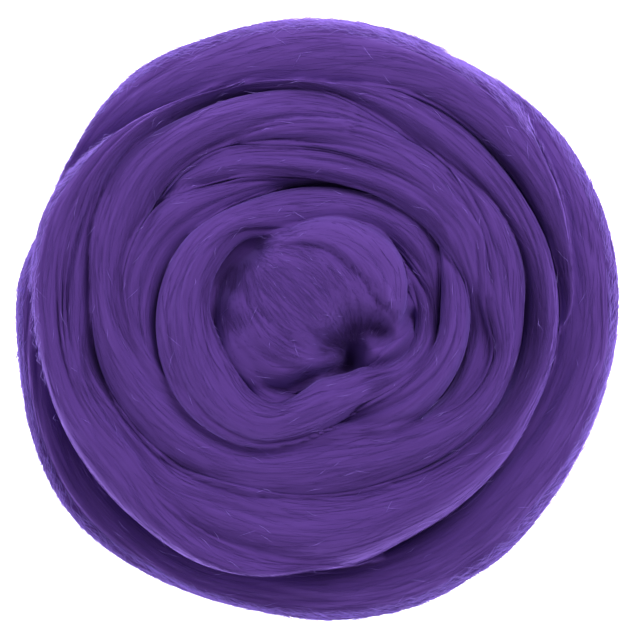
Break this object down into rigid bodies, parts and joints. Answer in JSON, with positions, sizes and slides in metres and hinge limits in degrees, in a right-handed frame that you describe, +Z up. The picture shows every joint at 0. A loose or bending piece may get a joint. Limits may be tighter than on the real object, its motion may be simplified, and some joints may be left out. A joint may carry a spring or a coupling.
{
  "type": "wool roving ball",
  "caption": "Low round ball of combed wool roving: one thick soft strand wound by hand into a flat-bottomed bun with uneven, overlapping turns.",
  "frame": {"origin": "on the resting surface, under the middle of the ball's outline", "axes": "+Z up through the wound middle; +X and +Y lie in the resting plane, to the right and to the top of the picture, which looks straight down"},
  "size_m": [0.1821, 0.1809, 0.0792],
  "materials": {
    "wool": "combed wool fibre dyed violet, matt with a soft sheen along the strand"
  },
  "bodies": {
    "root": {"wound_roving": "wool"}
  },
  "joints": []
}
